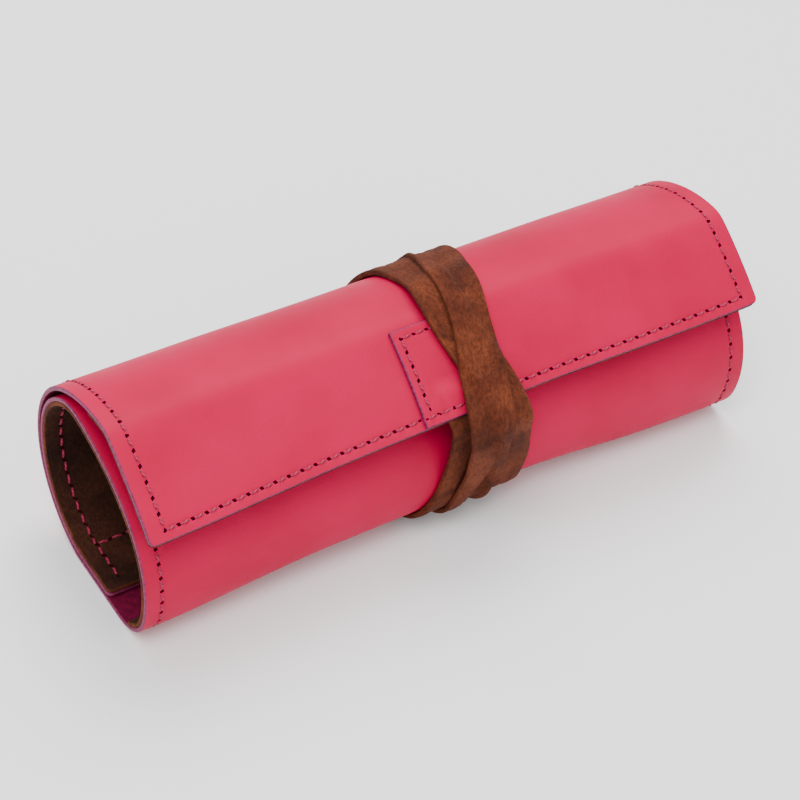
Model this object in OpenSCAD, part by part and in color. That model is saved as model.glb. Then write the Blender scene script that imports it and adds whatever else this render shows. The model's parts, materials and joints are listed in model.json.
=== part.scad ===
// Roll-up leather pencil case, tied shut with a long suede strap.
// X runs along the roll, the flap opens at the front (-Y), and +Z is up.
// The origin is under the middle of the roll, on the surface that it rests on.

/* [Roll] */
// Length of the roll, which is the width of the leather sheet
roll_length = 200; // [180:5:220]
// Thickness of the leather
leather_t = 1.2; // [0.8:0.1:1.4]
// Thickness of the suede lining
suede_t = 1.3; // [0.8:0.1:1.4]

/* [Strap] */
// Width of the suede strap where its turns lie side by side
strap_w = 11; // [8:0.5:11]
// Thickness of the strap
strap_t = 1.6; // [1.2:0.1:1.8]
// How far each turn of the strap lies beside the turn before it
strap_pitch = 11.6; // [11.5:0.1:12]

// How far the strap draws up the underside of the roll
waist_lift = 1.9; // [1.8:0.05:2]

/* [Tab patch] */
// Width of the patch that holds the strap's end, along the roll
patch_w = 30; // [28:1:36]
// Length of the patch, up the flap from its front edge
patch_l = 29; // [24:1:30]

/* [Stitching] */
// Distance of the stitching from the cut side edges
side_margin = 5; // [4:0.5:8]
// Distance of the stitching from the flap's front edge
front_margin = 3; // [2.5:0.5:5]

/* [Hidden] */
// The sheet's section, as a path from the flap's front edge up over the top, down the back, under the
// bottom, up the front, over the top again and down inside the back. Each entry is the radius of an
// arc and how far it turns; a turn of 0 is a straight of that length. The path is the smooth face.
SHEET = [
    [140, 12],   // flap, down the front
    [9, 31],     // front shoulder
    [43, 32],    // top
    [30.5, 133], // back
    [8, 15],     // into the flat bottom
    [23.8, 0],   // flat bottom
    [14, 75],    // bottom front
    [30.5, 70],  // inner front
    [60, 27],    // inner top, rising
    [15.2, 38],  // crown of the inner top
    [24.6, 52],  // inner top, falling
    [28.6, 83],  // inside the back
    [6, 15],     // into the bottom
    [18, 0]      // last straight, to the inner end
];
FLAP_START_HEADING = 43;
CHORD = 2.5;        // longest straight side that stands for a piece of an arc
HINGE_GAP = 0.3;    // gap between two bodies at a fold
FLAP_HINGE = 60;    // where the flap folds, along the path
THREAD_W = 0.7;
THREAD_H = 0.25;
HALF = roll_length / 2;
PATCH_X = [-patch_w / 2, patch_w / 2];
PATCH_WALL = 0.6;   // leather beside the strap's end, inside the patch
PATCH_FIT = 0.05;   // room round the strap's end
STRAP_END_L = 8;    // how far the strap reaches under the patch

function reversed(p) = [for (i = [len(p) - 1:-1:0]) p[i]];

// Unit vectors along a heading, and to the right of it, towards the roll's inside
function along(h) = [cos(h), sin(h)];
function right(h) = [sin(h), -cos(h)];

// Where each piece of a path starts: [point, heading, distance along]
function piece_length(piece) = piece[1] == 0 ? piece[0] : piece[0] * piece[1] * PI / 180;
function next_start(start, piece) =
    piece[1] == 0
    ? [start[0] + piece[0] * along(start[1]), start[1], start[2] + piece[0]]
    : [start[0] + piece[0] * (right(start[1]) - right(start[1] - piece[1])),
       start[1] - piece[1], start[2] + piece_length(piece)];
function starts(path, start, i = 0) =
    i == len(path) ? [start] : concat([start], starts(path, next_start(start, path[i]), i + 1));
STARTS = starts(SHEET, [[0, 0], FLAP_START_HEADING, 0]);
SHEET_LENGTH = STARTS[len(SHEET)][2];
function piece_at(s, i = 0) = (i == len(SHEET) - 1 || s <= STARTS[i + 1][2]) ? i : piece_at(s, i + 1);

// The point at distance s along the sheet, at depth d below its smooth face
function sheet_point(s, d) =
    let (i = piece_at(s), start = STARTS[i], u = s - start[2], r = SHEET[i][0])
    SHEET[i][1] == 0
    ? start[0] + u * along(start[1]) + d * right(start[1])
    : let (h = start[1] - u / r * 180 / PI) start[0] + r * right(start[1]) - (r - d) * right(h);

// The strap draws the underside up. Each zone along the roll is [x0, x1, share of the lift], and
// the lift fades to nothing at mid height. Every layer bends at the same stations, CHORD apart, so
// that layers which touch have matching faces.
WAIST = [
    [-HALF, -60, 0], [-60, -42, 1 / 3], [-42, -24, 2 / 3], [-24, 34, 1],
    [34, 52, 2 / 3], [52, 70, 1 / 3], [70, HALF, 0]
];
BASE_Z = STARTS[5][0][1];
MID_Z = BASE_Z + 31;
function lifted(p, share) =
    let (depth = max(0, (MID_Z - p[1]) / (MID_Z - BASE_Z))) p + [0, share * waist_lift * depth * depth];

function station_point(s, d, share) = lifted(sheet_point(min(s, SHEET_LENGTH), d), share);
function layer_point(s, d, share) =
    let (a = min(floor(s / CHORD), ceil(SHEET_LENGTH / CHORD) - 1) * CHORD,
         b = min(a + CHORD, SHEET_LENGTH), t = (s - a) / (b - a))
    station_point(a, d, share) * (1 - t) + station_point(b, d, share) * t;

// Places along the sheet that the pieces start and end at
BASE_START = STARTS[5][2];
BASE_END = STARTS[6][2];
INNER_FRONT_START = STARTS[7][2];
PANEL_HINGE = STARTS[11][2];
// how far the stitching and the front lining keep from the flat bottom, and from the flap's hinge
BASE_CLEAR = 6;
HINGE_CLEAR = 1;
// how far the outside stitching goes up the inner front, and how far in the panel's seam lies
SIDE_SEAM_PAST = 20;
END_SEAM_IN = 17;
// how far the patch and the strap's end keep from the flap's edge
EDGE_INSET = 0.3;
// larger than the whole part
BEYOND = 500;
LINING_FRONT_EDGE = BASE_END + BASE_CLEAR;
FACING_END = 42;

// The strap is a belt round four round corners of the roll. It travels down the front, under the
// bottom, up the back and over the top, with the roll on its left. Each corner is [centre, radius].
STRAP_GAP = 0.4;
function corner(i) = [STARTS[i][0] + SHEET[i][0] * right(STARTS[i][1]), SHEET[i][0] + STRAP_GAP];
FLAP_EDGE = [[0.3, -0.3], 5.2];
SHOULDER = [[30, 3.6], 17.2];
BELT = [FLAP_EDGE, corner(6), corner(4), corner(3), SHOULDER];
function clamp(x) = max(-1, min(1, x));
function belt_heading(a, b) =
    let (v = b[0] - a[0]) atan2(v[1], v[0]) + asin(clamp((a[1] - b[1]) / norm(v)));
function wrap(angle) = angle < -1 ? wrap(angle + 360) : angle;
BELT_N = len(BELT);
HEADINGS = [for (i = [0:BELT_N - 1]) belt_heading(BELT[i], BELT[(i + 1) % BELT_N])];
function heading_in(i) = HEADINGS[(i + BELT_N - 1) % BELT_N];
function belt_turn(i) = wrap(HEADINGS[i] - heading_in(i));

// One turn of the belt as corners, each [corner number, first angle, turn]. The straights lie between.
// These give the points of a stretch of the belt, at height d above its inner face.
function arc_points(c, h0, turn, d) =
    let (n = max(1, ceil(c[1] * turn * PI / 180 / CHORD)))
    [for (k = [0:n]) c[0] + (c[1] + d) * right(h0 + turn * k / n)];
function corner_points(i, from, to, d) =
    arc_points(BELT[i], heading_in(i) + from * belt_turn(i), (to - from) * belt_turn(i), d);

// A turn of the strap is seven links. Each is a list of [corner, from, to] shares of its arcs.
FRONT_LINK = [[0, 0.5, 1], [1, 0, 0]];
BOTTOM_FRONT_LINK = [[1, 0, 1]];
BOTTOM_LINK = [[1, 1, 1], [2, 0, 1]];
LOWER_BACK_LINK = [[3, 0, 0.5]];
UPPER_BACK_LINK = [[3, 0.5, 1]];
SHOULDER_LINK = [[3, 1, 1], [4, 0, 1]];
TOP_LINK = [[4, 1, 1], [0, 0, 0.5]];
TURN = [
    FRONT_LINK, BOTTOM_FRONT_LINK, BOTTOM_LINK, LOWER_BACK_LINK, UPPER_BACK_LINK,
    SHOULDER_LINK, TOP_LINK
];
LINKS = 17;
LINK_STEP = strap_pitch / len(TURN);
STRAP_X = -patch_w / 2 + 0.9;
LINK_END_GAP = 0.15;

// The first link starts on the flap itself, under the patch, and so has a tighter corner
FIRST_CORNER = [[1.4, -1.5], 2.1];
FIRST_HEADING = belt_heading(FIRST_CORNER, BELT[1]);
FIRST_LEAVES = FLAP_START_HEADING - 180 + 12;

// The whole roll is moved so that its box stands on the origin
FRONT_Y = FLAP_EDGE[0][0] - FLAP_EDGE[1] - strap_t;
BACK_Y = BELT[3][0][0] + BELT[3][1] + strap_t;
MOVE = [-(FRONT_Y + BACK_Y) / 2, -BASE_Z];

function digit(i) = chr(48 + i);
function link_name(i) = str("strap_", digit(floor(i / 10)), digit(i % 10));
LINK_NODES = [for (i = [1:LINKS]) link_name(i)];

// A prism along the roll, whose section is drawn in Y and Z
module along_roll(x0, x1) {
    translate([x0, 0, 0])
        rotate([90, 0, 90])
            linear_extrude(x1 - x0)
                translate(MOVE)
                    children();
}

// A strip of the sheet from s0 to s1 along it, between depths d0 and d1
module strip(s0, s1, d0, d1, x0 = -HALF, x1 = HALF) {
    along_roll(x0, x1)
        polygon(strip_outline(s0, s1, d0, d1, 0));
}
function strip_outline(s0, s1, d0, d1, share) =
    let (middle = [for (k = [floor(s0 / CHORD) + 1:ceil(s1 / CHORD) - 1]) k * CHORD],
         stops = concat([s0], middle, [s1]))
    concat([for (s = stops) layer_point(s, d0, share)],
           [for (s = reversed(stops)) layer_point(s, d1, share)]);

// The same over the whole length, drawn up where the strap passes
module waisted_strip(s0, s1, d0, d1) {
    for (zone = WAIST)
        along_roll(zone[0], zone[1])
            polygon(strip_outline(s0, s1, d0, d1, zone[2]));
}

// A thread line that runs round the roll, on both ends of it
module side_threads(s0, s1, d0, d1) {
    for (x = [-HALF + side_margin, HALF - side_margin])
        strip(s0, s1, d0, d1, x - THREAD_W / 2, x + THREAD_W / 2);
}

// Fixed part of the sheet: back, bottom, inner front and inner top
module shell_leather() {
    color([0.85, 0.2, 0.33])
        waisted_strip(FLAP_HINGE + HINGE_GAP / 2, PANEL_HINGE - HINGE_GAP / 2, 0, leather_t);
}

// Suede pocket panel inside the front, with its mouth at the bottom
module front_lining() {
    color([0.5, 0.28, 0.18])
        waisted_strip(LINING_FRONT_EDGE, PANEL_HINGE - HINGE_GAP / 2, leather_t, leather_t + suede_t);
}

// Under the flat bottom the thread is pressed in flush, and so has no ridge there
module shell_thread() {
    color([0.75, 0.2, 0.35]) {
        side_threads(FLAP_HINGE + HINGE_CLEAR, BASE_START - BASE_CLEAR, -THREAD_H, 0);
        side_threads(BASE_END + BASE_CLEAR, INNER_FRONT_START + SIDE_SEAM_PAST, -THREAD_H, 0);
    }
}

// The flap folds at the top of the back
module flap_leather() {
    color([0.88, 0.24, 0.36])
        strip(0, FLAP_HINGE - HINGE_GAP / 2, 0, leather_t);
}

// Suede facing inside the flap
module flap_facing() {
    color([0.5, 0.28, 0.18])
        strip(0, FACING_END, leather_t, leather_t + suede_t);
}

module flap_thread() {
    color([0.75, 0.2, 0.35]) {
        side_threads(front_margin, FLAP_HINGE - HINGE_CLEAR, -THREAD_H, 0);
        strip(front_margin, front_margin + THREAD_W, -THREAD_H, 0,
              -HALF + side_margin + THREAD_W / 2, PATCH_X[0]);
        strip(front_margin, front_margin + THREAD_W, -THREAD_H, 0,
              PATCH_X[1], HALF - side_margin - THREAD_W / 2);
    }
}

// The strap's sewn end lies on the flap, under the patch
module strap_end() {
    color([0.55, 0.32, 0.2])
        strip(EDGE_INSET, STRAP_END_L, -strap_t, 0, STRAP_X, STRAP_X + strap_w);
}

// Leather patch over the strap's end, raised where it covers the strap
module tab_patch() {
    raised_x1 = STRAP_X + strap_w + PATCH_WALL;
    color([0.86, 0.22, 0.35])
        difference() {
            union() {
                strip(EDGE_INSET, patch_l, -leather_t, 0, PATCH_X[0], PATCH_X[1]);
                strip(EDGE_INSET, STRAP_END_L + PATCH_WALL, -strap_t - leather_t, 0, PATCH_X[0], raised_x1);
            }
            strip(0, STRAP_END_L + PATCH_FIT, -strap_t - PATCH_FIT, leather_t,
                  STRAP_X - PATCH_FIT, STRAP_X + strap_w + PATCH_FIT);
        }
}

module patch_thread() {
    color([0.75, 0.2, 0.35])
        for (s = [STRAP_END_L + 3, patch_l - 3])
            strip(s, s + THREAD_W, -leather_t - THREAD_H, -leather_t, PATCH_X[0] + 2, PATCH_X[1] - 2);
}

// The innermost turn of the sheet, which stays in the roll's back and swings in
module panel_leather() {
    color([0.85, 0.2, 0.33])
        waisted_strip(PANEL_HINGE + HINGE_GAP / 2, SHEET_LENGTH, 0, leather_t);
}

module panel_lining() {
    color([0.5, 0.28, 0.18])
        waisted_strip(PANEL_HINGE + HINGE_GAP / 2, SHEET_LENGTH, leather_t, leather_t + suede_t);
}

module panel_thread() {
    face = leather_t + suede_t;
    seam = SHEET_LENGTH - END_SEAM_IN;
    color([0.75, 0.2, 0.35]) {
        side_threads(PANEL_HINGE + 2, SHEET_LENGTH - 4, face, face + THREAD_H);
        intersection() {
            waisted_strip(seam, seam + THREAD_W, face, face + THREAD_H);
            cube([roll_length - 2 * side_margin - 2 * THREAD_W, BEYOND, BEYOND], center = true);
        }
    }
}

// Pulls the ends of a link's face back by the gap to its neighbours
function shortened(p) =
    let (n = len(p), a = p[1] - p[0], b = p[n - 2] - p[n - 1])
    [for (i = [0:n - 1])
        i == 0 ? p[0] + LINK_END_GAP * a / norm(a)
        : i == n - 1 ? p[n - 1] + LINK_END_GAP * b / norm(b)
        : p[i]];
function link_face(shares, d) = [for (c = shares) each corner_points(c[0], c[1], c[2], d)];
function first_face(d) = concat(
    arc_points(FIRST_CORNER, FIRST_LEAVES, FIRST_HEADING - FIRST_LEAVES, d),
    [BELT[1][0] + (BELT[1][1] + d) * right(FIRST_HEADING)],
    [corner_points(1, 0, 0, d)[0]]);
// Drops points that repeat the one before
function distinct(p) = [for (i = [0:len(p) - 1]) if (i == 0 || norm(p[i] - p[i - 1]) > 0.01) p[i]];

module strap_link(i) {
    x = STRAP_X + i * LINK_STEP;
    shares = TURN[i % len(TURN)];
    inner = i == 0 ? first_face(0) : link_face(shares, 0);
    outer = i == 0 ? first_face(strap_t) : link_face(shares, strap_t);
    color([0.58, 0.33, 0.2])
        along_roll(x, x + strap_w)
            polygon([for (p = concat(shortened(distinct(inner)), reversed(shortened(distinct(outer)))))
                lifted(p, 1)]);
}

shell_leather();
front_lining();
shell_thread();
flap_leather();
flap_facing();
flap_thread();
tab_patch();
patch_thread();
strap_end();
panel_leather();
panel_lining();
panel_thread();
for (i = [0:LINKS - 1])
    strap_link(i);
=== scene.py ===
"""Roll-up leather pencil case, tied with a long suede strap.

Lengths are in millimetres until new_object() turns them into metres. The roll is drawn as a section
in Y and Z, which place() moves into the frame for each X along the roll.
"""
import json
import math

import bpy
import numpy as np
from mathutils import Matrix, Vector


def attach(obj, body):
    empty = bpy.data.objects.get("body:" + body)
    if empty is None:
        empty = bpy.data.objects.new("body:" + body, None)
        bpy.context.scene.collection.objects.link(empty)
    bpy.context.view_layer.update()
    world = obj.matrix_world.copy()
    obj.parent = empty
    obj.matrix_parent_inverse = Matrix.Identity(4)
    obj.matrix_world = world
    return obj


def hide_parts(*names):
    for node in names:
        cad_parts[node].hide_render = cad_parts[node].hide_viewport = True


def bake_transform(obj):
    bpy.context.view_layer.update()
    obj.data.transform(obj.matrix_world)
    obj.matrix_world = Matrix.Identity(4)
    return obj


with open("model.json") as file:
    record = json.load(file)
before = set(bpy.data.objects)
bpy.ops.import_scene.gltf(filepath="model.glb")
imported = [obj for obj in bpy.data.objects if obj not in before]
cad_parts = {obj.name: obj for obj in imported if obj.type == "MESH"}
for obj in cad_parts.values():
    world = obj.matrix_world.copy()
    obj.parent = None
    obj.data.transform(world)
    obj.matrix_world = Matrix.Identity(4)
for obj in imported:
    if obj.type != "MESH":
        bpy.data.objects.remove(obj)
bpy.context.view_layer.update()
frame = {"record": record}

MM = 0.001
HALF = 100.0            # half the roll's length
LEATHER_T = 1.2
SUEDE_T = 1.3
STRAP_W = 13.0
STRAP_T = 1.6
STITCH_PITCH = 4.25
SIDE_MARGIN = 5.0       # from the stitching to the cut side edges
FRONT_MARGIN = 3.0      # from the stitching to the flap's front edge
CORNER_R = 1.8
EDGE_R = 0.38           # rounding of the cut edges
UV_SCALE = 0.01         # UVs are in decimetres along and round the roll

# The sheet's section from the flap's front edge to the inner end, as arcs of [radius, degrees], or
# [length, 0] where it is straight
SHEET = [
    [140, 12], [9, 31], [43, 32], [30.5, 133], [8, 15], [23.8, 0], [14, 75], [30.5, 70],
    [60, 27], [15.2, 38], [24.6, 52], [28.6, 83], [6, 15], [18, 0],
]
START_HEADING = 43
MOVE = np.array([-30.3169, 43.2333])    # from the section's own Y and Z to the frame's
MID_Z = 31.0
UNDERSIDE_LIFT = 2.0
FLAP_RISE = 4.0         # how much higher the flap's front edge is at the right end


# ---------------------------------------------------------------- the roll's section
def along(heading):
    return np.array([math.cos(heading), math.sin(heading)])


def right_of(heading):
    return np.array([math.sin(heading), -math.cos(heading)])


def path_starts():
    """Where each arc of the sheet starts, as point, heading and distance, and the whole length."""
    point, heading, distance, found = np.zeros(2), math.radians(START_HEADING), 0.0, []
    for size, turn in SHEET:
        found.append((point, heading, distance))
        if turn == 0:
            point, distance = point + size * along(heading), distance + size
            continue
        bend = math.radians(turn)
        point = point + size * (right_of(heading) - right_of(heading - bend))
        heading, distance = heading - bend, distance + size * bend
    return found, distance


STARTS, SHEET_LENGTH = path_starts()
BASE_START = STARTS[5][2]
BASE_END = STARTS[6][2]
CROWN = STARTS[10][2]
UNDER_SPLIT = BASE_START + 3


def sheet_point(s, depth):
    """The section's point at distance s along the sheet and a depth below its smooth face."""
    i = max(k for k, start in enumerate(STARTS) if k == 0 or start[2] <= s)
    (point, heading, distance), (size, turn) = STARTS[i], SHEET[i]
    if turn == 0:
        return point + (s - distance) * along(heading) + depth * right_of(heading)
    now = heading - (s - distance) / size
    return point + size * right_of(heading) - (size - depth) * right_of(now)


def smooth(t):
    t = min(1.0, max(0.0, t))
    return t * t * (3 - 2 * t)


def waist(x):
    """1 where the strap passes, and 0 towards both ends of the roll."""
    return smooth((x + 92) / 55) * smooth((66 - x) / 50)


LEFT_FLARE, RIGHT_FLARE = 0.012, 0.026
WAIST_SQUEEZE = 0.012
TOP_BACK = np.array([22.0, 62.0])   # the section's place whose line along the roll stays straight


def flare(x):
    """How much larger the section is at x than the plain section."""
    return (1 + LEFT_FLARE * smooth((-x - 30) / 70) + RIGHT_FLARE * smooth((x - 25) / 75)
            - WAIST_SQUEEZE * waist(x))


def bow(x):
    """How far the section is below the straight line between the two ends' sizes."""
    share = (x + HALF) / (2 * HALF)
    return 1 + LEFT_FLARE * (1 - share) + RIGHT_FLARE * share - flare(x)


def place(x, point):
    """A section point in the frame, drawn up by the strap and flared at the ends."""
    y, z = point + MOVE
    depth = max(0.0, (MID_Z - z) / MID_Z)
    z = z + waist(x) * UNDERSIDE_LIFT * depth * depth
    grow, rise = flare(x), bow(x) * TOP_BACK
    return np.array([x, y * grow + rise[0], z * grow + rise[1]])


def surface(x, s, height=0.0):
    """The frame point at distance s along the sheet, a height above its smooth face."""
    skew = FLAP_RISE * (x + HALF) / (2 * HALF) * (1 - smooth(s / 55))
    return place(x, sheet_point(s + skew, -height))


# ---------------------------------------------------------------- meshes
def new_object(name, verts, faces, uvs=None, slots=None, sharp=50):
    """A mesh object in metres, with one UV for each vertex and one material slot for each face."""
    mesh = bpy.data.meshes.new(name)
    mesh.from_pydata((np.array(verts) * MM).tolist(), [], faces)
    if uvs is not None:
        corners = np.zeros(len(mesh.loops), np.int32)
        mesh.loops.foreach_get("vertex_index", corners)
        layer = mesh.uv_layers.new(name="UVMap")
        layer.data.foreach_set("uv", np.array(uvs, np.float32)[corners].ravel())
    if slots is not None:
        mesh.polygons.foreach_set("material_index", slots)
    mesh.polygons.foreach_set("use_smooth", [True] * len(mesh.polygons))
    mesh.set_sharp_from_angle(angle=math.radians(sharp))
    mesh.update()
    made = bpy.data.objects.new(name, mesh)
    bpy.context.scene.collection.objects.link(made)
    return made


def steps(a, b, step, fine=()):
    """Values from a to b, step apart, and closer in the fine ranges of (low, high, step)."""
    found = set(np.linspace(a, b, max(2, int(math.ceil((b - a) / step)) + 1)))
    for low, high, small in fine:
        low, high = max(a, low), min(b, high)
        if high > low:
            found |= set(np.linspace(low, high, int((high - low) / small) + 2))
    kept = []
    for value in sorted(found):
        if not kept or value - kept[-1] > 0.07:
            kept.append(value)
    kept[-1] = b
    return kept


CUT_SHOWS = 0.32        # how far the cut edge's colour comes round on to the faces


def edge_profile(x0, x1, t, fine):
    """The rounded cross-section of a sheet as a loop of (x, depth): along the outer face, round the
    right edge, back along the inner face and round the left edge."""
    turn = [math.pi / 2 * k / 4 for k in range(1, 4)]
    columns = steps(x0 + EDGE_R, x1 - EDGE_R, 3.0, fine)
    corner = [(EDGE_R * math.sin(a), EDGE_R * (1 - math.cos(a))) for a in turn]
    right = [(x1 - EDGE_R + out, down) for out, down in corner] + [(x1, EDGE_R), (x1, t - EDGE_R)]
    right += [(x1 - EDGE_R + out, t - down) for out, down in reversed(corner)]
    left = [(x0 + x1 - x, t - down) for x, down in right]
    face = [(x, 0.0) for x in columns]
    back = [(x, t) for x in reversed(columns)]
    return face + right + back + left, len(columns), len(right)


def slab(name, s0, s1, d0, t, x0=-HALF, x1=HALF, ends=(True, True), corners=(False, False),
         relief=None, lift=None, fine=(), fine_x=(), step=2.0):
    """A strip of the rolled sheet from s0 to s1 along it, as a closed solid with rounded edges. d0 is
    its outer face's depth. relief(x, s) raises the outer face, and lift(x, s) the whole thickness.
    Its material slots are 0 the outer face, 1 the cut edges and 2 the inner face."""
    profile, n_face, n_side = edge_profile(x0, x1, t, fine_x)
    middle, half = (x0 + x1) / 2, (x1 - x0) / 2
    near = list(fine)
    for at_end, rounded, low in ((ends[0], corners[0], s0), (ends[1], corners[1], s1 - CORNER_R)):
        edge = low if low == s0 else s1 - 1.0
        near += [(edge, edge + 1.0, 0.1)] if at_end else []
        near += [(low, low + CORNER_R, 0.4)] if rounded else []
    rows = steps(s0, s1, step, near)
    verts, uvs = [], []
    for s in rows:
        shrink, thin = 1.0, 0.0
        for at_end, rounded, away in ((ends[0], corners[0], s - s0), (ends[1], corners[1], s1 - s)):
            if at_end and away < EDGE_R:
                thin = EDGE_R - math.sqrt(max(0.0, EDGE_R ** 2 - (EDGE_R - away) ** 2))
            if rounded and away < CORNER_R:
                cut = CORNER_R - math.sqrt(max(0.0, CORNER_R ** 2 - (CORNER_R - away) ** 2))
                shrink = 1 - cut / half
        for k, (x, d) in enumerate(profile):
            here = middle + (x - middle) * shrink
            height = -d0 - thin - d * (t - 2 * thin) / t
            if relief and k < n_face:
                height += relief(here, s)
            if lift:
                height += lift(here, s)
            verts.append(surface(here, s, height))
            uvs.append((x * UV_SCALE, s * UV_SCALE))
    n = len(profile)
    faces, slots = [], []
    for i in range(len(rows) - 1):
        for k in range(n):
            m = (k + 1) % n
            faces.append((i * n + k, i * n + m, (i + 1) * n + m, (i + 1) * n + k))
            face, back = k < n_face - 1, n_face + n_side <= k < 2 * n_face + n_side - 1
            near_cut = any(rows[i] - s0 < CUT_SHOWS if low else s1 - rows[i + 1] < CUT_SHOWS
                           for low in (True, False) if ends[0 if low else 1])
            slots.append(1 if near_cut or not (face or back) else 0 if face else 2)
    right = list(range(n_face - 1, n_face + n_side + 1))
    left = list(range(2 * n_face + n_side - 1, n)) + [0]
    cap = [right, left]
    for k in range(n_face - 1):
        opposite = 2 * n_face + n_side - 1 - k
        cap.append([k, k + 1, opposite - 1, opposite])
    for loop in cap:
        faces.append(tuple(reversed(loop)))
        faces.append(tuple((len(rows) - 1) * n + k for k in loop))
        slots += [1, 1]
    return new_object(name, verts, faces, uvs, slots)


# ---------------------------------------------------------------- materials
def material(name, colour, roughness, **settings):
    """A Principled material with its plain settings on the shader's own sockets."""
    made = bpy.data.materials.new(name)
    made.use_nodes = True
    shader = made.node_tree.nodes["Principled BSDF"]
    shader.inputs["Base Color"].default_value = (*colour, 1)
    shader.inputs["Roughness"].default_value = roughness
    for socket, value in settings.items():
        shader.inputs[socket.replace("_", " ")].default_value = value
    return made


def texture(made, kind, scale, stretch=(1, 1, 1), **settings):
    """A noise or Voronoi texture laid on the UVs, whose unit is a decimetre."""
    nodes, links = made.node_tree.nodes, made.node_tree.links
    uv = nodes.new("ShaderNodeUVMap")
    uv.uv_map = "UVMap"
    mapping = nodes.new("ShaderNodeMapping")
    mapping.inputs["Scale"].default_value = stretch
    links.new(uv.outputs["UV"], mapping.inputs["Vector"])
    node = nodes.new(kind)
    links.new(mapping.outputs["Vector"], node.inputs["Vector"])
    node.inputs["Scale"].default_value = scale
    for socket, value in settings.items():
        node.inputs[socket].default_value = value
    return node


def ramp(made, value, stops):
    """A colour ramp over a value, with stops of (place, colour)."""
    node = made.node_tree.nodes.new("ShaderNodeValToRGB")
    made.node_tree.links.new(value, node.inputs["Fac"])
    elements = node.color_ramp.elements
    while len(elements) < len(stops):
        elements.new(0.5)
    for element, (place_at, colour) in zip(elements, stops):
        element.position = place_at
        element.color = (*colour, 1)
    return node.outputs["Color"]


def bumps(made, layers):
    """Chains bump nodes of (height output, strength, distance in metres) into the shader."""
    nodes, links = made.node_tree.nodes, made.node_tree.links
    last = None
    for height, strength, distance in layers:
        bump = nodes.new("ShaderNodeBump")
        bump.inputs["Strength"].default_value = strength
        bump.inputs["Distance"].default_value = distance
        links.new(height, bump.inputs["Height"])
        if last:
            links.new(last.outputs["Normal"], bump.inputs["Normal"])
        last = bump
    links.new(last.outputs["Normal"], nodes["Principled BSDF"].inputs["Normal"])


def tint(made, colour):
    made.node_tree.links.new(colour, made.node_tree.nodes["Principled BSDF"].inputs["Base Color"])


def roughen(made, value, low, high):
    nodes, links = made.node_tree.nodes, made.node_tree.links
    ranged = nodes.new("ShaderNodeMapRange")
    ranged.inputs["To Min"].default_value = low
    ranged.inputs["To Max"].default_value = high
    links.new(value, ranged.inputs["Value"])
    links.new(ranged.outputs["Result"], nodes["Principled BSDF"].inputs["Roughness"])


def mixed(made, a, b, share):
    node = made.node_tree.nodes.new("ShaderNodeMix")
    node.data_type = "RGBA"
    node.blend_type = "MULTIPLY"
    node.inputs["Factor"].default_value = share
    made.node_tree.links.new(a, node.inputs["A"])
    made.node_tree.links.new(b, node.inputs["B"])
    return node.outputs["Result"]


PINK = (0.50, 0.0, 0.050)
PINK_DEEP = (0.43, 0.0, 0.038)
EDGE_MAGENTA = (0.17, 0.003, 0.055)
BROWN = (0.125, 0.026, 0.0095)
BROWN_LIGHT = (0.205, 0.047, 0.017)
BROWN_DARK = (0.060, 0.012, 0.005)
# Painted shade: darker copies of the brown suede's colours, for suede faces in shade inside the roll and
# under the flap's front edge
SHADED_SUEDE_LIGHT = (0.085, 0.024, 0.011)
SHADED_SUEDE_MID = (0.052, 0.014, 0.0065)
SHADED_SUEDE_DARK = (0.026, 0.007, 0.0035)


def smooth_leather():
    made = material("pink_leather", PINK, 0.46, Specular_IOR_Level=0.09)
    cloud = texture(made, "ShaderNodeTexNoise", 3.0, Detail=3.0)
    grain = texture(made, "ShaderNodeTexVoronoi", 170.0)
    fine = texture(made, "ShaderNodeTexNoise", 260.0, Detail=3.0)
    wide = texture(made, "ShaderNodeTexNoise", 9.0, Detail=2.0)
    tint(made, ramp(made, cloud.outputs["Fac"], [(0.3, PINK_DEEP), (0.6, PINK)]))
    roughen(made, wide.outputs["Fac"], 0.46, 0.60)
    bumps(made, [(wide.outputs["Fac"], 0.25, 0.0006), (grain.outputs["Distance"], 0.14, 0.00012),
                 (fine.outputs["Fac"], 0.12, 0.00006)])
    return made


def cut_edge():
    made = material("magenta_cut_edge", EDGE_MAGENTA, 0.62)
    fibre = texture(made, "ShaderNodeTexNoise", 90.0, Detail=4.0)
    stops = [(0.35, (0.10, 0.001, 0.035)), (0.65, (0.25, 0.005, 0.085))]
    tint(made, ramp(made, fibre.outputs["Fac"], stops))
    bumps(made, [(fibre.outputs["Fac"], 0.5, 0.0002)])
    return made


def flesh_side():
    made = material("leather_flesh_side", (0.13, 0.004, 0.026), 0.95,
                    Specular_IOR_Level=0.1)
    fibre = texture(made, "ShaderNodeTexNoise", 55.0, Detail=6.0, Roughness=0.7)
    tint(made, ramp(made, fibre.outputs["Fac"], [(0.3, (0.06, 0.002, 0.014)), (0.7, (0.19, 0.005, 0.04))]))
    bumps(made, [(fibre.outputs["Fac"], 0.6, 0.0003)])
    return made


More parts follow.
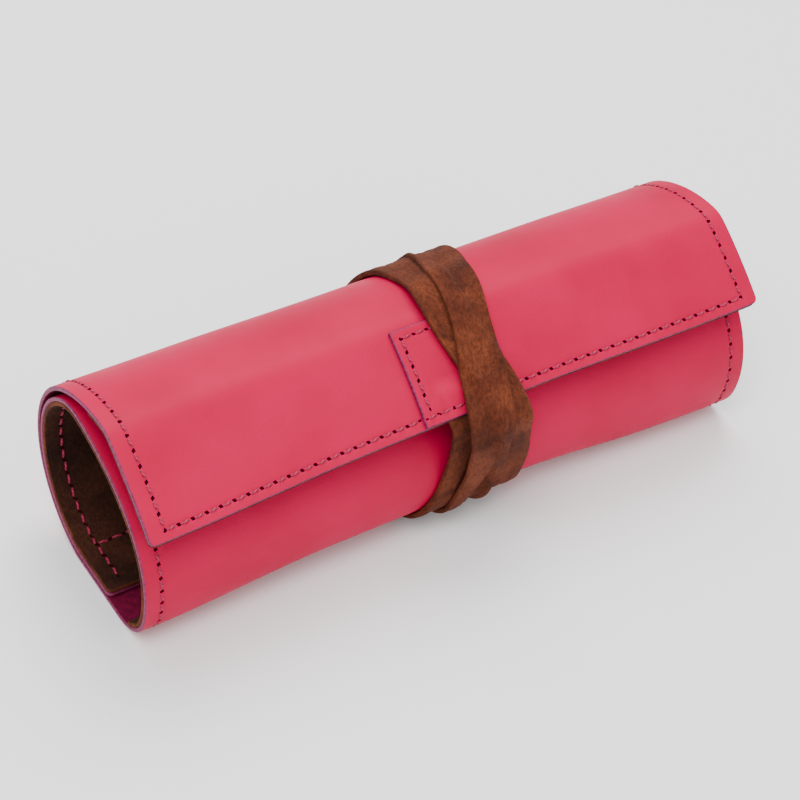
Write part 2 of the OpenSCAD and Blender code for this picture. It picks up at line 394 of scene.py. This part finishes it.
def suede(name, light, mid, dark, patches):
    """Napped suede: mottled where the nap lies one way or the other, with short fibres."""
    made = material(name, mid, 0.92, Sheen_Weight=0.05, Sheen_Roughness=0.5, Specular_IOR_Level=0.2)
    made.node_tree.nodes["Principled BSDF"].inputs["Sheen Tint"].default_value = (*light, 1)
    mottle = texture(made, "ShaderNodeTexNoise", patches, Detail=5.0, Roughness=0.62, Distortion=0.6)
    nap = texture(made, "ShaderNodeTexNoise", 105.0, stretch=(1.0, 0.6, 1), Detail=6.0, Roughness=0.75)
    fibre = texture(made, "ShaderNodeTexNoise", 230.0, Detail=3.0, Roughness=0.7)
    base = ramp(made, mottle.outputs["Fac"], [(0.32, dark), (0.5, mid), (0.68, light)])
    fine = ramp(made, nap.outputs["Fac"], [(0.40, (0.36, 0.34, 0.32)), (0.60, (1.0, 1.0, 1.0))])
    tint(made, mixed(made, base, fine, 0.75))
    bumps(made, [(mottle.outputs["Fac"], 0.35, 0.0006), (nap.outputs["Fac"], 0.9, 0.0006),
                 (fibre.outputs["Fac"], 0.6, 0.00018)])
    return made


def thread_material():
    made = material("pink_thread", (0.34, 0.006, 0.05), 0.65)
    twist = texture(made, "ShaderNodeTexWave", 30.0, Distortion=0.3)
    tint(made, ramp(made, twist.outputs["Fac"], [(0.1, (0.16, 0.002, 0.02)), (0.7, (0.42, 0.010, 0.07))]))
    bumps(made, [(twist.outputs["Fac"], 0.5, 0.0001)])
    return made


# Painted shade: a near-black colour, with a faint speckle, for the discs that stand in for the shaded
# hollow of each stitch hole
def hole_shade_material():
    made = material("stitch_hole_painted_shade", (0.020, 0.001, 0.005), 1.0, Specular_IOR_Level=0.0)
    shade_speckle = texture(made, "ShaderNodeTexNoise", 200.0)
    tint(made, ramp(made, shade_speckle.outputs["Fac"], [(0.3, (0.012, 0.0, 0.003)), (0.7, (0.035, 0.001, 0.008))]))
    return made


LEATHER = smooth_leather()
CUT = cut_edge()
FLESH = flesh_side()
SUEDE = suede("brown_suede", BROWN_LIGHT, BROWN, BROWN_DARK, 7.0)
# The brown suede with painted shade: darker colours for the faces of the linings and the flap facing
SHADED_SUEDE = suede("brown_suede_painted_shade", SHADED_SUEDE_LIGHT, SHADED_SUEDE_MID, SHADED_SUEDE_DARK, 5.0)
THREAD = thread_material()
# Near-black painted shade for the stitch holes
HOLE_SHADE = hole_shade_material()


def dress(piece, materials, slot, *nodes):
    """Gives a piece its materials, and hides the CAD nodes that it stands for. Its slot argument is not
    used.
    """
    for made in materials:
        piece.data.materials.append(made)
    if nodes:
        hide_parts(*nodes)
    return piece


# ---------------------------------------------------------------- leather and linings
STITCH_X = HALF - SIDE_MARGIN
SIDE_FINE = [(-HALF, -HALF + 9, 0.45), (HALF - 9, HALF, 0.45)]
GROOVE = 0.17           # how deep the stitching draws the leather in
GROOVE_WIDTH = 0.8
PAD_DEPTH = LEATHER_T + SUEDE_T
SEAM_REACH = 2.4        # how far from a row of stitches the sheet still has its groove
EDGE_PRESS = 0.25       # how far the strap presses the flap's front edge in
FLAP_EDGE_FINE = [(FRONT_MARGIN - SEAM_REACH, FRONT_MARGIN + SEAM_REACH, 0.4)]
LINING_START = BASE_END + 6
FACING_INSET = 0.2
FACING_START, FACING_END = -0.35, 42.0  # it shows below the leather at the flap's front edge


def wander(x, s):
    """The leather's slight unevenness."""
    return 0.10 * math.sin(x / 23 + s / 31) * math.sin(s / 17 + 1) + 0.05 * math.sin(x / 9 - s / 13)


def groove(x, s):
    """How far the outer face stands off its plain place, lowest along the stitching."""
    off = abs(abs(x) - STITCH_X)
    if abs(x) < STITCH_X:
        off = min(off, abs(s - FRONT_MARGIN))
    return -GROOVE * math.exp(-(off / GROOVE_WIDTH) ** 2)


def near_strap(x):
    """1 under the strap and 0 well beside it."""
    return smooth((22 - abs(x - 3)) / 14)


def flap_relief(x, s):
    """The groove, with the front edge pressed in slightly under the strap."""
    pressed = EDGE_PRESS * near_strap(x) * (1 - smooth(s / 10))
    return groove(x, s) + wander(x, s) * smooth(s / 6) - pressed


def front_relief(x, s):
    return groove(x, s) + wander(x, s)


def bend_at_flap(piece):
    """Bakes the piece's transform into its mesh, for a piece at the flap's fold."""
    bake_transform(piece)


def bend_at_panel(piece):
    """The same, for a piece at the inner panel's fold."""
    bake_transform(piece)


def leather_flap_and_back():
    """The flap, top and back, down to the underside, in one sheet that bends at the flap's fold."""
    piece = slab("leather_flap_and_back", 0, UNDER_SPLIT, 0, LEATHER_T, ends=(True, False),
                 corners=(True, False), relief=flap_relief, fine=FLAP_EDGE_FINE, fine_x=SIDE_FINE)
    dress(piece, [LEATHER, CUT, FLESH], "pink_leather", "flap_leather")
    bend_at_flap(piece)


def leather_front():
    piece = slab("leather_front", UNDER_SPLIT, CROWN, 0, LEATHER_T, ends=(False, False),
                 relief=front_relief, fine_x=SIDE_FINE)
    dress(piece, [LEATHER, CUT, FLESH], "pink_leather", "shell_leather")
    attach(piece, "shell")


def leather_panel():
    piece = slab("leather_panel", CROWN, SHEET_LENGTH, 0, LEATHER_T, ends=(False, True),
                 corners=(False, True), fine_x=SIDE_FINE)
    dress(piece, [LEATHER, CUT, FLESH], "pink_leather", "panel_leather")
    bend_at_panel(piece)


def front_lining():
    piece = slab("front_lining_suede", LINING_START, CROWN, LEATHER_T, SUEDE_T, ends=(True, False))
    # Faces in the suede painted darker as shade, cut edges in the plain suede
    dress(piece, [SHADED_SUEDE, SUEDE, SHADED_SUEDE], "brown_suede", "front_lining")
    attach(piece, "shell")


def panel_lining():
    piece = slab("panel_lining_suede", CROWN, SHEET_LENGTH, LEATHER_T, SUEDE_T, ends=(False, True),
                 corners=(False, True))
    # Faces in the suede painted darker as shade, cut edges in the plain suede
    dress(piece, [SHADED_SUEDE, SUEDE, SHADED_SUEDE], "brown_suede", "panel_lining")
    bend_at_panel(piece)


def flap_facing():
    piece = slab("flap_facing_suede", FACING_START, FACING_END, LEATHER_T, SUEDE_T,
                 x0=-HALF + FACING_INSET, x1=HALF - FACING_INSET, corners=(True, False))
    # Faces in the suede painted darker as shade, cut edges in the plain suede
    dress(piece, [SHADED_SUEDE, SUEDE, SHADED_SUEDE], "brown_suede", "flap_facing")
    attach(piece, "flap")


# ---------------------------------------------------------------- the patch
PATCH_X0, PATCH_X1 = -15.4, 14.4
PATCH_START, PATCH_END = 0.3, 29.3
PATCH_MARGIN = 2.6      # from the patch's stitching to its cut edges
PATCH_CLEAR = 0.03
CREASE = 0.35
STRAP_START_X = -1.8    # the strap's middle where it leaves the patch


def patch_lift(x, s):
    """How far the patch stands off the flap: over the strap's end, and a little where it creases."""
    over = smooth((STRAP_W / 2 + 2.2 - abs(x - STRAP_START_X)) / 3.4) * (1 - smooth((s - 6.5) / 6))
    along_crease = smooth((s - 8) / 5) * smooth((27 - s) / 8)
    crease = CREASE * math.exp(-((x - 2 + 0.3 * s) / 2.2) ** 2) * along_crease
    return PATCH_CLEAR + STRAP_T * over + crease


def patch_relief(x, s):
    """The groove along the patch's own stitching, and along the flap's row that passes over it."""
    off = min(abs(x - PATCH_X0 - PATCH_MARGIN), abs(x - PATCH_X1 + PATCH_MARGIN),
              abs(s - PATCH_END + PATCH_MARGIN))
    if s < FRONT_MARGIN + SEAM_REACH:
        off = min(off, abs(s - FRONT_MARGIN))
    return -GROOVE * math.exp(-(off / GROOVE_WIDTH) ** 2)


def tab_patch():
    piece = slab("tab_patch_leather", PATCH_START, PATCH_END, -LEATHER_T, LEATHER_T, x0=PATCH_X0,
                 x1=PATCH_X1, relief=patch_relief, lift=patch_lift, step=0.7,
                 fine_x=[(PATCH_X0, PATCH_X1, 0.6)])
    dress(piece, [LEATHER, CUT, FLESH], "pink_leather", "tab_patch")
    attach(piece, "flap")


# ---------------------------------------------------------------- stitching
RING = 7
STITCH_RADIUS = 0.36
SLANT = 0.55            # how far across the row a stitch's ends are from each other
STITCH_GAP = 0.62       # from the row's even spacing to where a stitch's thread starts
STITCH_LEAD = STITCH_GAP / STITCH_PITCH
THREAD_SHARES = [STITCH_LEAD, 0.30, 0.5, 0.70, 1 - STITCH_LEAD]    # of the pitch, from hole to hole
THREAD_LIFTS = [-0.24, 0.08, 0.14, 0.08, -0.24]
THREAD_SIZES = [0.55, 0.95, 1.0, 0.95, 0.55]                       # of STITCH_RADIUS
HOLE_HALVES = (0.55, 0.36)                                         # along the stitch and across it
HOLE_SHARES = (0.03, 0.97)
HOLE_SIDES = 8
HOLE_CLEAR = 0.03
END_SEAM_IN = 17        # from the inner panel's seam to its end


class Stitches:
    """Rows of stitches, each a short thread that dips into a hole at both ends, drawn as a dark disc of
    painted shade.
    """

    def __init__(self, name):
        self.name, self.verts, self.faces, self.uvs, self.slots = name, [], [], [], []

    def ring(self, middle, sideways, up, radius, v):
        """Adds one ring of the thread, and gives its first vertex's number."""
        first = len(self.verts)
        for k in range(RING):
            turn = 2 * math.pi * k / RING
            self.verts.append(middle + radius * (math.cos(turn) * sideways + math.sin(turn) * up))
            self.uvs.append((k / RING * 0.02 + v, v))
        return first

    def thread(self, points, sideways, up):
        rings = [self.ring(p, sideways, up, STITCH_RADIUS * r, i * 0.006)
                 for i, (p, r) in enumerate(zip(points, THREAD_SIZES))]
        for a, b in zip(rings, rings[1:]):
            for k in range(RING):
                m = (k + 1) % RING
                self.faces.append((a + k, a + m, b + m, b + k))
                self.slots.append(0)
        self.faces.append(tuple(rings[0] + k for k in reversed(range(RING))))
        self.faces.append(tuple(rings[-1] + k for k in range(RING)))
        self.slots += [0, 0]

    # A flat disc on the leather, coloured as painted shade for the stitch hole's hollow
    def hole(self, middle, forward, sideways):
        first = len(self.verts)
        long, wide = HOLE_HALVES
        for k in range(HOLE_SIDES):
            turn = 2 * math.pi * k / HOLE_SIDES
            self.verts.append(middle + long * math.cos(turn) * forward + wide * math.sin(turn) * sideways)
            self.uvs.append((k * 0.001, 0))
        self.faces.append(tuple(range(first, first + HOLE_SIDES)))
        self.slots.append(1)

    def row(self, a, b, height, out=1):
        """Stitches from a to b, each (x, s). height(x, s) is the leather's, and out is -1 on the inner
        face."""
        a, b = np.array(a, float), np.array(b, float)
        long = float(np.linalg.norm(b - a))
        count = max(1, round(long / STITCH_PITCH))
        across = np.array([a[1] - b[1], b[0] - a[0]]) / long
        for i in range(count):
            flat = [a + (b - a) * (i + share) / count + (share - 0.5) * SLANT * across
                    for share in THREAD_SHARES]
            points = [surface(x, s, height(x, s) + out * lift)
                      for (x, s), lift in zip(flat, THREAD_LIFTS)]
            x, s = flat[2]
            up = surface(x, s, out * 1.0) - surface(x, s, 0)
            up = up / np.linalg.norm(up)
            forward = points[4] - points[0]
            forward = forward / np.linalg.norm(forward)
            sideways = np.cross(up, forward)
            self.thread(points, sideways, np.cross(forward, sideways))
            for share in HOLE_SHARES:
                x, s = a + (b - a) * (i + share) / count + (share - 0.5) * SLANT * across
                self.hole(surface(x, s, height(x, s) + out * HOLE_CLEAR), forward, sideways)

    def finish(self, slot_nodes):
        made = new_object(self.name, self.verts, self.faces, self.uvs, self.slots, sharp=70)
        return dress(made, [THREAD, HOLE_SHADE], "pink_thread", *slot_nodes)


def inner_height(x, s):
    return -PAD_DEPTH


def patch_height(x, s):
    return LEATHER_T + patch_lift(x, s) + patch_relief(x, s)


def stitching():
    outer = Stitches("flap_and_back_stitches")
    outer.row((-STITCH_X, FRONT_MARGIN), (PATCH_X0 - 0.6, FRONT_MARGIN), flap_relief)
    outer.row((PATCH_X1 + 0.6, FRONT_MARGIN), (STITCH_X, FRONT_MARGIN), flap_relief)
    for x in (-STITCH_X, STITCH_X):
        outer.row((x, FRONT_MARGIN), (x, UNDER_SPLIT - 2), flap_relief)
    bend_at_flap(outer.finish(["flap_thread"]))

    front = Stitches("front_stitches")
    for x in (-STITCH_X, STITCH_X):
        front.row((x, UNDER_SPLIT), (x, CROWN), front_relief)
        front.row((x, LINING_START + 3), (x, CROWN), inner_height, out=-1)
    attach(front.finish(["shell_thread"]), "shell")

    panel = Stitches("panel_stitches")
    seam = SHEET_LENGTH - END_SEAM_IN
    for x in (-STITCH_X, STITCH_X):
        panel.row((x, CROWN), (x, SHEET_LENGTH - 4), inner_height, out=-1)
    panel.row((-STITCH_X, seam), (STITCH_X, seam), inner_height, out=-1)
    bend_at_panel(panel.finish(["panel_thread"]))

    patch = Stitches("patch_stitches")
    left, right, top = PATCH_X0 + PATCH_MARGIN, PATCH_X1 - PATCH_MARGIN, PATCH_END - PATCH_MARGIN
    patch.row((left, FRONT_MARGIN + 2), (left, top), patch_height)
    patch.row((left, top), (right, top), patch_height)
    patch.row((right, top), (right, FRONT_MARGIN + 2), patch_height)
    patch.row((PATCH_X0 + 0.8, FRONT_MARGIN), (PATCH_X1 - 0.8, FRONT_MARGIN), patch_height)
    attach(patch.finish(["patch_thread"]), "flap")


# ---------------------------------------------------------------- the strap
# Its turns run round five round corners of the roll, each (centre, radius) in the section's own Y and
# Z: down the front, under, up the back and over the top, with the roll on the left
BELT_GAP = 0.35


def sheet_corner(i):
    point, heading, distance = STARTS[i]
    return point + SHEET[i][0] * right_of(heading), SHEET[i][0] + BELT_GAP


BELT = [(np.array([0.3, -0.3]), 5.2), sheet_corner(6), sheet_corner(4), sheet_corner(3),
        (np.array([30.0, 3.6]), 17.2)]
FIRST_CORNER = (np.array([1.4, -1.5]), 2.1)     # over the flap's edge, where the strap starts
FIRST_TURN = 12                                 # degrees that the flap's slope changes before it
UNDER_PATCH = 11.0                              # how far its sewn end reaches under the patch
ROW_STEP = 1.05
FULL_TURN = 2 * math.pi


def tangent(a, b):
    """The heading of the straight that joins two corners."""
    apart = b[0] - a[0]
    distance = float(np.linalg.norm(apart))
    lean = math.asin(max(-1.0, min(1.0, (a[1] - b[1]) / distance)))
    return math.atan2(apart[1], apart[0]) + lean


HEADINGS = [tangent(BELT[i], BELT[(i + 1) % 5]) for i in range(5)]


def belt_pieces():
    """One turn as (start of the piece, length, heading at its start, corner number or None)."""
    found, at = [], 0.0
    for i, corner in enumerate(BELT):
        turn = (HEADINGS[i] - HEADINGS[i - 1]) % FULL_TURN
        turn = 0.0 if turn > 6 else turn    # a hair's breadth the other way round
        found.append((at, corner[1] * turn, HEADINGS[i - 1], i, None))
        at += corner[1] * turn
        leave = corner[0] + corner[1] * right_of(HEADINGS[i])
        meet = BELT[(i + 1) % 5][0] + BELT[(i + 1) % 5][1] * right_of(HEADINGS[i])
        length = float(np.linalg.norm(meet - leave))
        found.append((at, length, HEADINGS[i], None, leave))
        at += length
    return found, at


BELT_PIECES, TURN_LENGTH = belt_pieces()
FRONT_EDGE = BELT_PIECES[0][1] / 2              # the flap's edge, where a turn is counted from
MARKS = {
    "front": FRONT_EDGE,
    "bottom_front": BELT_PIECES[2][0],
    "back_low": BELT_PIECES[6][0],
    "back_mid": BELT_PIECES[6][0] + BELT_PIECES[6][1] / 2,
    "shoulder": BELT_PIECES[7][0],
}


def belt_point(q):
    """The point and heading of the belt's inner face at distance q along its turns."""
    q = q % TURN_LENGTH
    start, length, heading, corner, leave = [p for p in BELT_PIECES if p[0] <= q + 1e-9][-1]
    if corner is None:
        return leave + (q - start) * along(heading), heading
    centre, radius = BELT[corner]
    now = heading + (q - start) / radius
    return centre + radius * right_of(now), now


def strap_line():
    """The strap's middle line as rows of (q, point, heading), from under the patch to its free end."""
    rows = []
    for s in np.arange(UNDER_PATCH, 0.4, -0.8):
        i = max(k for k, start in enumerate(STARTS) if k == 0 or start[2] <= s)
        bend = (s - STARTS[i][2]) / SHEET[i][0]
        rows.append((sheet_point(s, 0), STARTS[i][1] - bend - math.pi))
    centre, radius = FIRST_CORNER
    leaves, arrives = math.radians(START_HEADING - 180 + FIRST_TURN), tangent(FIRST_CORNER, BELT[1])
    for k in range(7):
        now = leaves + (arrives - leaves) * k / 6
        rows.append((centre + radius * right_of(now), now))
    meet = BELT[1][0] + BELT[1][1] * right_of(arrives)
    apart = float(np.linalg.norm(meet - rows[-1][0]))
    for k in range(1, int(apart)):
        rows.append((rows[-1][0] + along(arrives) * apart / int(apart), arrives))
    joins = MARKS["bottom_front"] + BELT[1][1] * (arrives - HEADINGS[0])
    count = int((STRAP_END - joins) / ROW_STEP)
    for k in range(count + 1):
        rows.append(belt_point(joins + (STRAP_END - joins) * k / count))
    lengths = [0.0]
    for (a, _), (b, _) in zip(rows, rows[1:]):
        lengths.append(lengths[-1] + float(np.linalg.norm(b - a)))
    q_shift = STRAP_END - lengths[-1]
    return [(length + q_shift, point, heading) for length, (point, heading) in zip(lengths, rows)]


STRAP_END = 2 * TURN_LENGTH + MARKS["back_low"]
FREE_START = FRONT_EDGE + 2                     # where the strap has left the patch
# Where the strap's middle is along the roll, as (turns from the flap's edge, x)
STRAP_WANDER = [
    (-0.1, -1.8), (0.0, -1.8), (0.04, -0.8), (0.09, -0.8), (0.14, -2.6), (0.2, -6.5), (0.35, -9.0),
    (0.5, -3.0), (0.6, 3.0), (0.67, 5.2), (0.76, 5.0), (0.84, 2.6), (0.9, 4.6), (0.96, 7.6),
    (1.0, 8.2), (1.07, 11.6), (1.13, 14.0), (1.2, 13.6), (1.4, 13.5), (1.55, 17.0), (1.67, 18.0),
    (1.73, 15.8), (1.78, 12.4), (1.84, 9.0), (1.9, 6.4), (1.96, 3.4), (2.0, 1.6), (2.05, 2.6),
    (2.1, 4.0), (2.15, 3.2), (2.25, 1.5), (2.5, 2.0),
]


def strap_middle(q):
    """The X of the strap's middle at q, on a smooth curve through STRAP_WANDER."""
    t = (q - FRONT_EDGE) / TURN_LENGTH
    n = len(STRAP_WANDER)
    i = max([k for k in range(n - 1) if STRAP_WANDER[k][0] <= t] or [0])
    (t0, x0), (t1, x1) = STRAP_WANDER[i], STRAP_WANDER[i + 1]

    def slope(k):
        (ta, xa), (tb, xb) = STRAP_WANDER[max(0, k - 1)], STRAP_WANDER[min(n - 1, k + 1)]
        return (xb - xa) / (tb - ta)

    u, span = min(1.0, max(0.0, (t - t0) / (t1 - t0))), t1 - t0
    return ((2 * u ** 3 - 3 * u ** 2 + 1) * x0 + (u ** 3 - 2 * u ** 2 + u) * span * slope(i)
            + (3 * u ** 2 - 2 * u ** 3) * x1 + (u ** 3 - u ** 2) * span * slope(i + 1))


def stacked(q, x):
    """How far the strap's inner face lies off the belt at x, over the turns beneath it."""
    height = 0.0
    for turn in (1, 2):
        below = q - turn * TURN_LENGTH
        if below > FREE_START:
            off = abs(x - strap_middle(below))
            cover = smooth((STRAP_W / 2 + 1.1 - off) / 2.2) * smooth((below - FREE_START) / 5)
            height = max(height, cover * (stacked(below, x) + STRAP_T))
    return height


STRAP_COLUMNS = 15
STRAP_EDGE_R = 0.5


def strap_profile():
    """The strap's cross-section as a loop of (place across it, height)."""
    turn = [math.pi / 2 * k / 4 for k in range(1, 4)]
    flat = STRAP_W / 2 - STRAP_EDGE_R
    columns = [flat * (2 * k / (STRAP_COLUMNS - 1) - 1) for k in range(STRAP_COLUMNS)]
    top = [(v, STRAP_T) for v in columns]
    right = [(flat + STRAP_EDGE_R * math.sin(a), STRAP_T - STRAP_EDGE_R * (1 - math.cos(a)))
             for a in turn]
    right += [(STRAP_W / 2, STRAP_T - STRAP_EDGE_R), (STRAP_W / 2, STRAP_EDGE_R)]
    right += [(v, STRAP_T - h) for v, h in reversed(right[:3])]
    bottom = [(v, 0.0) for v in reversed(columns)]
    left = [(-v, STRAP_T - h) for v, h in right]
    return top + right + bottom + left


def strap_rows():
    """The strap's rows of vertices, each with its q, and the UV of each vertex across a row."""
    profile, found = strap_profile(), []
    for q, point, heading in strap_line():
        middle = strap_middle(q)
        lean = (strap_middle(q + 1) - strap_middle(q - 1)) / 2
        wide = math.sqrt(1 + lean * lean) * (1 + 0.02 * math.sin(q / 7.3) + 0.012 * math.sin(q / 3.1))
        end = min(1.0, max(0.0, (STRAP_END - q) / 3.0))
        wide *= 0.82 + 0.18 * math.sqrt(1 - (1 - end) ** 2)
        outward, row = right_of(heading), []
        for v, h in profile:
            x = middle + v * wide
            soft = 0.10 * math.sin(q / 8.7 + v * 0.5) + 0.07 * math.sin(q / 3.9 - v * 0.9)
            ridge = 0.10 * math.cos(v * 1.5 + q / 40) * (h / STRAP_T)
            height = stacked(q, x) + h + (soft + ridge) * (h / STRAP_T)
            row.append(place(x, point + height * outward))
        found.append((q, row))
    return found, [(v + (STRAP_T - h) * (1 if v > 0 else -1)) * UV_SCALE for v, h in profile]


def strap_piece(name, rows, across, q0, q1):
    """The stretch of the strap between q0 and q1, as a closed solid."""
    picked = [r for r in rows if q0 - 0.01 <= r[0] <= q1 + 0.01]
    n, verts, uvs, faces = len(across), [], [], []
    for q, row in picked:
        verts += row
        uvs += [(v, q * UV_SCALE) for v in across]
    for i in range(len(picked) - 1):
        for k in range(n):
            m = (k + 1) % n
            faces.append((i * n + k, i * n + m, (i + 1) * n + m, (i + 1) * n + k))
    side = (n - 2 * STRAP_COLUMNS) // 2
    caps = [list(range(STRAP_COLUMNS - 1, STRAP_COLUMNS + side + 1)),
            list(range(2 * STRAP_COLUMNS + side - 1, n)) + [0]]
    for k in range(STRAP_COLUMNS - 1):
        opposite = 2 * STRAP_COLUMNS + side - 1 - k
        caps.append([k, k + 1, opposite - 1, opposite])
    for loop in caps:
        faces.append(tuple(reversed(loop)))
        faces.append(tuple((len(picked) - 1) * n + k for k in loop))
    return new_object(name, verts, faces, uvs)


def strap_joint_places():
    """Where each of the strap's joints is along it: the start and end of each link."""
    turn, m = TURN_LENGTH, MARKS
    return [m["bottom_front"], m["back_low"], m["back_mid"], m["shoulder"],
            turn + m["front"], turn + m["bottom_front"], turn + m["back_low"], turn + m["back_mid"],
            turn + m["shoulder"], 2 * turn + m["front"], 2 * turn + m["bottom_front"], STRAP_END]


def strap():
    """The strap in one piece for each of its joints, from the middle of one link to the next."""
    rows, across = strap_rows()
    spots = strap_joint_places()
    bodies = ["flap"] + [f"strap_link_{i:02d}" for i in range(1, len(spots))]
    qs = [q for q, row in rows]

    def nearest(q):
        return min(qs, key=lambda value: abs(value - q))

    middles = [nearest((FREE_START + spots[0]) / 2)]
    middles += [nearest((a + b) / 2) for a, b in zip(spots, spots[1:])]
    members = frame["record"]["behaviour"]["bodies"]
    for i in range(len(bodies) - 1):
        low = qs[0] if i == 0 else middles[i]
        high = qs[-1] if i == len(bodies) - 2 else middles[i + 1]
        piece = strap_piece(f"strap_{i + 1:02d}_suede", rows, across, low, high)
        nodes = list(members[bodies[i + 1]]) + (["strap_end", "strap_01"] if i == 0 else [])
        dress(piece, [SUEDE], "brown_suede", *nodes)
        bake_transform(piece)


# ---------------------------------------------------------------- floor, light and camera
def floor():
    """A wide pale floor just below the strap."""
    size, level = 6.0, -0.0004
    corners = [(-size, -size, level), (size, -size, level), (size, size, level), (-size, size, level)]
    mesh = bpy.data.meshes.new("floor")
    mesh.from_pydata(corners, [], [(0, 1, 2, 3)])
    made = bpy.data.objects.new("floor", mesh)
    bpy.context.scene.collection.objects.link(made)
    paint = bpy.data.materials.new("floor_white")
    paint.use_nodes = True
    shader = paint.node_tree.nodes["Principled BSDF"]
    shader.inputs["Base Color"].default_value = (0.95, 0.95, 0.95, 1)
    shader.inputs["Roughness"].default_value = 0.9
    mesh.materials.append(paint)


def soft_light(name, at, target, size, watts):
    """A square area light that faces the target."""
    data = bpy.data.lights.new(name, "AREA")
    data.size = size
    data.energy = watts
    lamp = bpy.data.objects.new(name, data)
    lamp.location = at
    lamp.rotation_mode = "QUATERNION"
    lamp.rotation_quaternion = (Vector(at) - Vector(target)).to_track_quat("Z", "Y")
    bpy.context.scene.collection.objects.link(lamp)


def lighting():
    centre = (0, 0, 0.03)
    soft_light("key_light", (-0.55, -0.35, 1.25), centre, 0.8, 16)
    soft_light("top_light", (0.35, 0.6, 1.3), centre, 1.0, 24)
    soft_light("fill_light", (0.5, -1.2, 0.9), centre, 1.0, 5)
    world = bpy.data.worlds.new("studio")
    world.use_nodes = True
    back = world.node_tree.nodes["Background"]
    back.inputs["Color"].default_value = (1, 1, 1, 1)
    back.inputs["Strength"].default_value = 0.7
    bpy.context.scene.world = world


CAMERA_AT = (-0.2913, -0.3751, 0.4720)
CAMERA_AZIMUTH = 37.44      # degrees that it looks to the right of +Y
CAMERA_ELEVATION = 43.20    # degrees that it looks down
CAMERA_ROLL = 7.40
CAMERA_LENS = 102.83


def camera():
    a, e, roll = (math.radians(v) for v in (CAMERA_AZIMUTH, CAMERA_ELEVATION, CAMERA_ROLL))
    ahead = Vector((math.sin(a) * math.cos(e), math.cos(a) * math.cos(e), -math.sin(e)))
    level = Vector((math.cos(a), -math.sin(a), 0))
    over = level.cross(ahead)
    right = level * math.cos(roll) + over * math.sin(roll)
    up = over * math.cos(roll) - level * math.sin(roll)
    data = bpy.data.cameras.new("camera")
    data.lens = CAMERA_LENS
    data.sensor_width = 36
    data.clip_start, data.clip_end = 0.01, 20
    made = bpy.data.objects.new("camera", data)
    turned = Matrix((right, up, -ahead)).transposed().to_4x4()
    made.matrix_world = Matrix.Translation(CAMERA_AT) @ turned
    bpy.context.scene.collection.objects.link(made)
    bpy.context.scene.camera = made


camera()
lighting()
floor()
leather_flap_and_back()
leather_front()
leather_panel()
front_lining()
panel_lining()
flap_facing()
tab_patch()
stitching()
strap()
